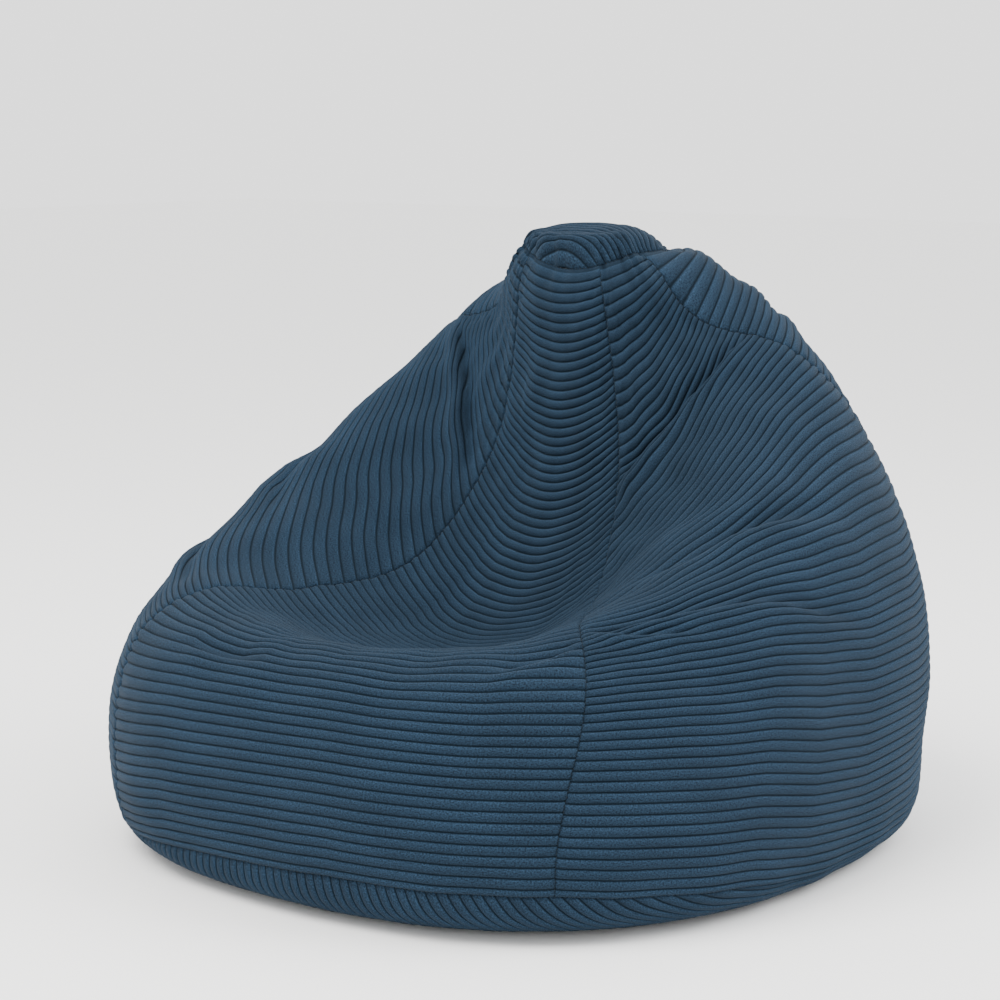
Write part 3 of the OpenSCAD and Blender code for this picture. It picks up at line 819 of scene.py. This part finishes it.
# Aluminium wire, crimped round the last teeth.
stop_metal, tree = new_material("crimped_aluminium_stop")
spot = node(tree, "ShaderNodeTexCoord").outputs["Object"]
scuff = node(tree, "ShaderNodeTexNoise", Vector=spot, Scale=900, Detail=2).outputs[0]
rough = node(tree, "ShaderNodeMapRange", Value=scuff, To_Min=0.28, To_Max=0.5)
finish_material(tree, node(tree, "ShaderNodeBsdfPrincipled", Base_Color=linear("#b9bcc0"), Metallic=1.0,
                           Roughness=rough.outputs[0]))


def on_zip(turn, outward, up):
    """Points on the zip's arc, from arrays of turns in radians and distances in millimetres."""
    reach = zip_radius + outward
    return zip_middle + np.stack([reach * np.cos(turn), reach * np.sin(turn), up + 0 * turn], -1)


def repaint(node_name, material):
    """A node whose shape is right keeps it, with a better material."""
    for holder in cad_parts[node_name].material_slots:
        holder.material = material


place = np.linspace(zip_from - zip_ramp, zip_to + zip_ramp, 172)
at_seam = body_point(place, 0 * place)
bearing = np.arctan2(at_seam[:, 1] - zip_middle[1], at_seam[:, 0] - zip_middle[0])
for side, part in ((1, "upper"), (-1, "lower")):
    edges = [on_zip(bearing, 0, side * up) for up in (coil_far, 4.2, 5.4)]
    outs = [unit(np.stack([np.cos(bearing), np.sin(bearing), 0 * bearing], -1))] * 3
    for gap, depth in ((zip_gap, 4.4), (zip_gap + 0.01, 5.2), (zip_gap + 0.02, 5.4)):
        t = side * gap + 0 * place
        outs.append(body_out(place, t))
        edges.append(body_point(place, t) - depth * outs[-1])
    if side < 0:
        edges, outs = edges[::-1], outs[::-1]
    edges, outs = np.array(edges), np.array(outs)
    across = np.broadcast_to(np.linspace(0, 16, 6)[:, None], edges.shape[:2])
    along = np.broadcast_to(bearing * zip_radius, edges.shape[:2])
    tape = cloth_piece("zip_tape_" + part, edges + outs * tape_thick / 2, edges - outs * tape_thick / 2,
                       along, across, np.ones_like(along), tape_cloth)
    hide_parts("cover_zip_" + part + "_tape")
    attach(tape, "chair")
    turn = np.arange(zip_start + 0.0012, zip_end - 0.001, 1.3 / zip_radius)
    turn = turn + (0.65 / zip_radius if side > 0 else 0)
    teeth = grains("zip_coil_" + part, on_zip(turn, 0, side * (coil_near + coil_far) / 2),
                   np.broadcast_to([0.0, 0.0, 1.0], (len(turn), 3)),
                   np.stack([np.cos(turn), np.sin(turn), 0 * turn], -1), (coil_far - coil_near) / 2, 0.52, coil_half_thick, nylon)
    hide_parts("cover_zip_" + part + "_coil")
    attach(teeth, "chair")
repaint("cover_zip_start_stop", stop_metal)
repaint("cover_zip_end_stop", stop_metal)

# The slider has no pull tab, so that a child can't open it: two rounded plates on a web, and a low lug
# that takes a paper clip.
shape = bmesh.new()
slider_turn = zip_start + radians(0.1 + 0.75)
for middle, size in (((2.1, 0, 0), (1.2, 14.2, 10.0)), ((-2.1, 0, 0), (1.2, 14.2, 10.0)),
                     ((0, 0, 0), (3.6, 14.0, 0.36)), ((3.0, 0, 0), (1.1, 5.4, 2.2))):
    bmesh.ops.create_cube(shape, size=1, matrix=Matrix.Translation(middle) @ Matrix.Diagonal((*size, 1)))
bmesh.ops.bevel(shape, geom=shape.edges[:], offset=0.15, offset_type="OFFSET", segments=3, profile=0.5,
                affect="EDGES", material=-1)
to_arc = Matrix.Rotation(slider_turn, 4, "Z")
out = Vector((cos(slider_turn), sin(slider_turn), 0))
bmesh.ops.transform(shape, matrix=Matrix.Scale(MM, 4) @ Matrix.Translation(Vector(zip_middle) + out * zip_radius)
                    @ to_arc, verts=shape.verts)
slider = finish_piece("zip_slider_body", shape, slider_paint)
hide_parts("cover_zip_slider")
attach(slider, "cover_slider")

# ------------------------------------------------------------------------------------------------
# Zip garage and care label
# A short corduroy pocket over the closed slider, and a blank satin label in the base seam beside the
# other end of the zip.

garage_place = np.linspace(zip_from - 0.02, zip_from + 0.05, 33)
rise = np.linspace(-1, 1, 25)
place, v = np.meshgrid(garage_place, rise, indexing="xy")
t = 0.026 * v
smooth, out = body_point(place, t), body_out(place, t)
across, up = lengths(smooth, 1), lengths(smooth, 0)
part = (across / wale) % 1
height = wale_profile(part) * (1 - np.abs(v) ** 8)
lift = 0.4 + 6.0 * (1 - v ** 4)
garage = cloth_piece("zip_garage", smooth + out * (lift + 0.7 + 1.2 * height)[..., None],
                     smooth + out * lift[..., None], up, across, height, corduroy)
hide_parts("cover_zip_garage")
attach(garage, "chair")

# White satin ribbon, woven with long floats.
satin, tree = new_material("woven_satin_label")
cloth_map = node(tree, "ShaderNodeUVMap", {"uv_map": "cloth"}).outputs["UV"]
floats = node(tree, "ShaderNodeMapping", Vector=cloth_map, Scale=(6000, 900, 1)).outputs[0]
yarn = node(tree, "ShaderNodeTexNoise", Vector=floats, Scale=1, Detail=2).outputs[0]
yarn_shade = node(tree, "ShaderNodeValToRGB", Fac=yarn)
yarn_shade.color_ramp.elements[0].color = linear("#c9c8c2")
yarn_shade.color_ramp.elements[1].color = linear("#efeeea")
finish_material(tree, node(tree, "ShaderNodeBsdfPrincipled", Base_Color=yarn_shade.outputs[0],
                           Roughness=0.4, Specular_IOR_Level=0.4, Anisotropic=0.4))

place, v = np.meshgrid(np.linspace(zip_to + 0.05, zip_to + 0.1, 14), np.linspace(0, 1, 14), indexing="xy")
t = -0.066 + 0.062 * v
smooth, out = body_point(place, t), body_out(place, t)
across, up = lengths(smooth, 1), lengths(smooth, 0)
curl = 0.9 + 1.6 * (1 - v) ** 2 + 0.3 * np.sin(across / 4) * (1 - v)
label = cloth_piece("care_label_ribbon", smooth + out * (curl + 0.3)[..., None], smooth + out * curl[..., None],
                    across, up, np.ones_like(v), satin)
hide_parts("care_label")
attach(label, "chair")

# ------------------------------------------------------------------------------------------------
# Inner liner
# A thin polyester bag inside the cover that holds the beads. It has the cover's shape, a little smaller,
# and its own plain zip in the base.

liner_depth = 8.4
liner_thick = 0.5


def under_panel(place, t, depth):
    """Points a depth under the side panels' cloth, without its seams."""
    number = int(min(place.min() + 1e-6, 3))
    heights = np.linspace(0, 1, 500)
    rise = lengths(body_point(np.full(500, number + 0.5), heights), 0)
    wide = np.linspace(0, 1, panel_columns)
    run = lengths(body_point(number + wide[None, :], np.full((1, panel_columns), 0.12)), 1)[0]
    across = np.interp(place - number, wide, run) - run[-1] / 2
    up = np.interp(t, heights, rise)
    foot = seam_level(place)
    t = foot + t * (1 - crown_level(place) - foot)
    smooth = body_point(place, t)
    folds = list(FOLDS.values())[number]
    out = cloth_out(number, folds, place, t, across, up, smooth)[0]
    return smooth + body_out(place, t) * (out - depth)[..., None], across, up


# Thin plain-woven polyester, undyed and matt.
liner_cloth, tree = new_material("plain_woven_polyester_liner")
cloth_map = node(tree, "ShaderNodeUVMap", {"uv_map": "cloth"}).outputs["UV"]
weave = node(tree, "ShaderNodeTexNoise", Vector=cloth_map, Scale=2200, Detail=2, Roughness=0.6).outputs[0]
weave_shade = node(tree, "ShaderNodeValToRGB", Fac=weave)
weave_shade.color_ramp.elements[0].color = linear("#cfccc2")
weave_shade.color_ramp.elements[1].color = linear("#efede6")
weave_bump = node(tree, "ShaderNodeBump", Height=weave, Strength=0.2, Distance=0.0002).outputs[0]
finish_material(tree, node(tree, "ShaderNodeBsdfPrincipled", Base_Color=weave_shade.outputs[0],
                           Roughness=0.85, Normal=weave_bump, Specular_IOR_Level=0.2))


def finish_liner(piece, node_name):
    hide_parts(node_name)
    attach(piece, "chair")


for number, side in enumerate(FOLDS):
    t, place = np.meshgrid(np.linspace(0, 1, 90), np.linspace(number, number + 1, 48), indexing="ij")
    face, across, up = under_panel(place, t, liner_depth)
    inner = under_panel(place, t, liner_depth + liner_thick)[0]
    finish_liner(cloth_piece("liner_" + side, face, inner, across, up, np.ones_like(t), liner_cloth),
                 "liner_" + side + "_panel")


def liner_round(layout, up, depth, rim_depth, deep, seed):
    """The liner's cloth under a round of the cover."""
    points, outward, rim_gap, place, flat_x, flat_y = layout
    gather = crown_gather if up else base_gather
    out = gather * round_ripple(place, seed) * bump(rim_gap, 30) - deep * bump(rim_gap, rim_curve)
    out = out - depth - (rim_depth - depth) * bump(rim_gap, 45)
    if not up:
        out = np.where(points[..., 2] < 3, -depth, out)
    every = slice(None, None, 4)
    return [values[every, ::2] for values in (points + outward * out[..., None],
            points + outward * (out - liner_thick)[..., None], flat_y, flat_x, np.ones_like(flat_x))]


layout = round_cloth(top_t, crown_middle, True, 41)
finish_liner(cloth_piece("liner_crown_round", *liner_round(layout, True, liner_depth, liner_depth, crown_depth, 81),
                         liner_cloth), "liner_crown")

layout = round_cloth(bottom_t, (0, 0, 0), False, 65, 0)
liner_base = cloth_piece("liner_base_round", *liner_round(layout, False, 7, liner_depth, seam_depth, 61), liner_cloth)
shape = bmesh.new()
bmesh.ops.create_cube(shape, size=1, matrix=Matrix.Diagonal((0.5, 0.022, 0.03, 1)))
slot_cutter = finish_piece("slot_cutter", shape, liner_cloth)
cut = liner_base.modifiers.new("zip_slot", "BOOLEAN")
cut.operation = "DIFFERENCE"
cut.object = slot_cutter
slotted = bpy.data.meshes.new_from_object(liner_base.evaluated_get(bpy.context.evaluated_depsgraph_get()))
liner_base.modifiers.clear()
liner_base.data = slotted
bpy.data.objects.remove(slot_cutter)
finish_liner(liner_base, "liner_base")

# ------------------------------------------------------------------------------------------------
# Liner zip
# A lighter white coil zip, straight across the liner's base. It is flat, straight hardware, so its
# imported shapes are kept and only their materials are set.

white_tape, tree = new_material("woven_white_zip_tape")
spot = node(tree, "ShaderNodeTexCoord").outputs["Object"]
rib = node(tree, "ShaderNodeTexWave", {"bands_direction": "X"}, Vector=spot, Scale=380, Distortion=1.5).outputs["Fac"]
rib_shade = node(tree, "ShaderNodeValToRGB", Fac=rib)
rib_shade.color_ramp.elements[0].color = linear("#d6d3ca")
rib_shade.color_ramp.elements[1].color = linear("#f0eee8")
finish_material(tree, node(tree, "ShaderNodeBsdfPrincipled", Base_Color=rib_shade.outputs[0], Roughness=0.8))

white_nylon, tree = new_material("white_nylon_coil")
spot = node(tree, "ShaderNodeTexCoord").outputs["Object"]
loops = node(tree, "ShaderNodeTexWave", {"bands_direction": "X"}, Vector=spot, Scale=240).outputs["Fac"]
loop_bump = node(tree, "ShaderNodeBump", Height=loops, Strength=0.8, Distance=0.0005).outputs[0]
finish_material(tree, node(tree, "ShaderNodeBsdfPrincipled", Base_Color=linear("#ecebe6"), Roughness=0.35,
                           Normal=loop_bump))

white_paint, tree = new_material("white_painted_zinc")
finish_material(tree, node(tree, "ShaderNodeBsdfPrincipled", Base_Color=linear("#dcdbd6"), Roughness=0.4))

for end in ("front", "back"):
    repaint("liner_zip_" + end + "_tape", white_tape)
    repaint("liner_zip_" + end + "_coil", white_nylon)
for end in ("start", "end"):
    repaint("liner_zip_" + end + "_stop", stop_metal)
repaint("liner_zip_slider", white_paint)

# ------------------------------------------------------------------------------------------------
# Bead fill
# Loose beads of expanded polystyrene, 3 to 5 mm across, as one closed body inside the liner.

fill_depth = 10.2

beads, tree = new_material("expanded_polystyrene_beads")
spot = node(tree, "ShaderNodeTexCoord").outputs["Object"]
cells = node(tree, "ShaderNodeTexVoronoi", Vector=spot, Scale=240)
round_top = node(tree, "ShaderNodeMapRange", Value=cells.outputs["Distance"], From_Min=0.0, From_Max=0.7,
                 To_Min=1.0, To_Max=0.0)
bead_bump = node(tree, "ShaderNodeBump", Height=round_top.outputs[0], Strength=0.9, Distance=0.002).outputs[0]
# Painted shade: each bead is painted darker towards its edge, where the beads meet, than on its round top.
bead_painted_shade = node(tree, "ShaderNodeMix", {"data_type": "RGBA"}, _0=round_top.outputs[0],
                  _6=linear("#c9c7c0"), _7=linear("#f3f2ee")).outputs[2]
finish_material(tree, node(tree, "ShaderNodeBsdfPrincipled", Base_Color=bead_painted_shade, Roughness=0.6,
                           Normal=bead_bump, Specular_IOR_Level=0.3))

shape = bmesh.new()
fill_columns, fill_rows = 144, 110
bmesh.ops.create_uvsphere(shape, u_segments=fill_columns, v_segments=fill_rows, radius=1)
shape.verts.ensure_lookup_table()
ball = np.array([tuple(v.co) for v in shape.verts])
row = np.rint((np.arcsin(np.clip(ball[:, 2], -1, 1)) / pi + 0.5) * fill_rows).astype(int)
turn = np.mod(np.rint((np.arctan2(ball[:, 1], ball[:, 0]) / (2 * pi)) * fill_columns), fill_columns).astype(int)
row_t = np.r_[np.zeros(10), np.linspace(0, 1, 93), np.linspace(1.01, top_t, 6)]
t, place = np.meshgrid(row_t, np.linspace(0, 4, fill_columns + 1)[:-1], indexing="ij")
foot = seam_level(place[:10])
t[:10] = bottom_t + (foot - bottom_t) * np.linspace(0, 0.95, 10)[:, None]
inside = body_point(place, t) - fill_depth * body_out(place, np.clip(t, bottom_t + 0.003, top_t - 0.003))
for number in range(4):
    rows_in = slice(10, 103)
    columns_in = slice(number * fill_columns // 4, (number + 1) * fill_columns // 4)
    inside[rows_in, columns_in] = under_panel(place[rows_in, columns_in], t[rows_in, columns_in], fill_depth)[0]
inside[0, :, 2] = fill_depth
ends = {0: np.array([0, 0, fill_depth]), fill_rows: crown_middle - (0, 0, fill_depth)}
points = np.array([ends[r] if r in ends else inside[r - 1, c] for r, c in zip(row, turn)])
fill = finish_piece("bead_fill_body", shape, beads)
fill.data.vertices.foreach_set("co", (points * MM).reshape(-1))
fill.data.update()
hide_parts("bead_fill")
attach(fill, "chair")
